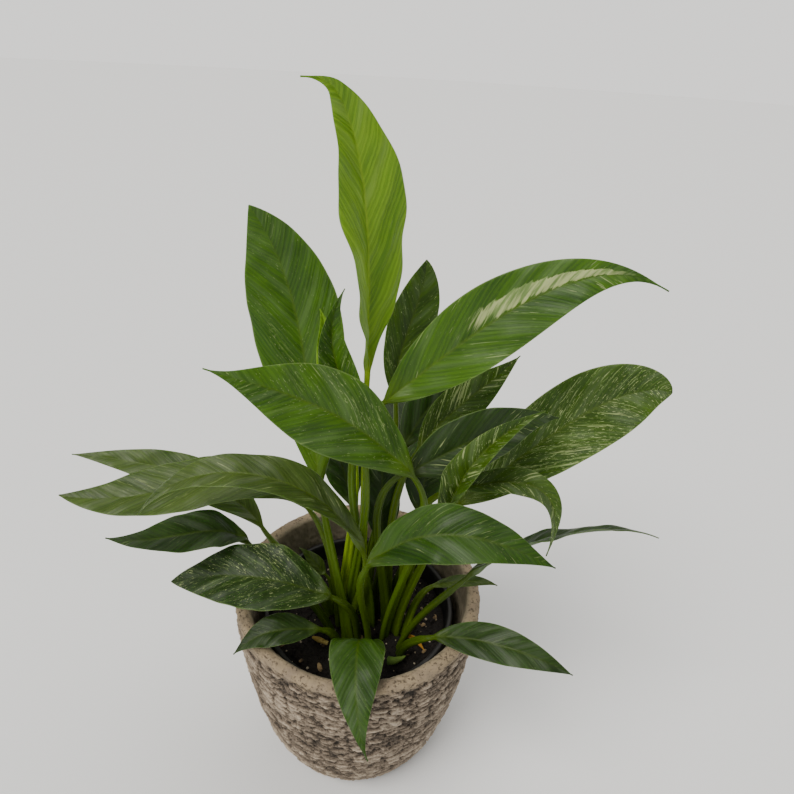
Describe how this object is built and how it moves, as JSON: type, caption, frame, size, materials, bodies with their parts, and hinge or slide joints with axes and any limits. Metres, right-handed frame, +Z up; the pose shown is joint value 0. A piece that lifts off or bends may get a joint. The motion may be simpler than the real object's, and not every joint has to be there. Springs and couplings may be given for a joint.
{
  "type": "potted peace lily plant",
  "caption": "Variegated peace lily foliage plant growing in a plastic nursery pot that stands inside a rough stone-look planter.",
  "frame": {"origin": "centre of the flat underside of the stone-look pot", "axes": "+Z up; the plant's front, where a leaf hangs over the rim, faces -Y; +X to the right seen from the front"},
  "size_m": [0.4092, 0.2607, 0.4763],
  "materials": {
    "stone_pot": "rough layered stone look, matt, pale beige ridges over dark grey-brown crevices, smoother cream rim",
    "nursery_plastic": "thin black moulded plastic, slightly satin",
    "potting_mix": "damp dark peat with white perlite grains and tan bark chips",
    "leaf_fresh": "young bright yellow-green leaf, waxy satin, pale midrib",
    "leaf_meadow": "green leaf with cream flecks, waxy satin",
    "leaf_deep": "deep green leaf with fine pale specks, waxy satin",
    "leaf_greyed": "grey-green leaf with pale parallel veins, waxy sheen",
    "leaf_variegated": "green leaf with dense cream variegation along the veins, waxy satin",
    "withered_tissue": "dry orange-yellow plant tissue, matt"
  },
  "bodies": {
    "root": {"stone_pot": "stone_pot", "nursery_pot": "nursery_plastic", "potting_mix": "potting_mix", "tall_leaf": "leaf_fresh", "left_broad_leaf": "leaf_meadow", "small_folded_leaf": "leaf_meadow", "young_left_leaf": "leaf_fresh", "back_leaf": "leaf_variegated", "mid_left_leaf": "leaf_meadow", "big_right_leaf": "leaf_meadow", "under_right_leaf": "leaf_variegated", "dark_inner_leaf": "leaf_deep", "dark_right_leaf": "leaf_deep", "narrow_folded_leaf": "leaf_variegated", "right_variegated_leaf": "leaf_variegated", "hanging_leaf": "leaf_variegated", "thin_right_leaf": "leaf_deep", "rim_small_leaf": "leaf_greyed", "lower_right_leaf": "leaf_deep", "front_hanging_leaf": "leaf_meadow", "front_left_small_leaf": "leaf_deep", "left_speckled_leaf": "leaf_deep", "front_right_leaf": "leaf_meadow", "far_left_upper_leaf": "leaf_greyed", "far_left_wide_leaf": "leaf_greyed", "arching_left_leaf": "leaf_greyed", "drooping_left_leaf": "leaf_deep", "pot_back_small_leaf": "leaf_greyed", "back_left_leaf": "leaf_deep", "centre_leaf": "leaf_deep", "inner_right_leaf": "leaf_deep", "rear_leaf": "leaf_deep", "withered_leaf": "withered_tissue", "dead_stalk": "withered_tissue", "young_bud": "leaf_fresh"}
  },
  "joints": []
}
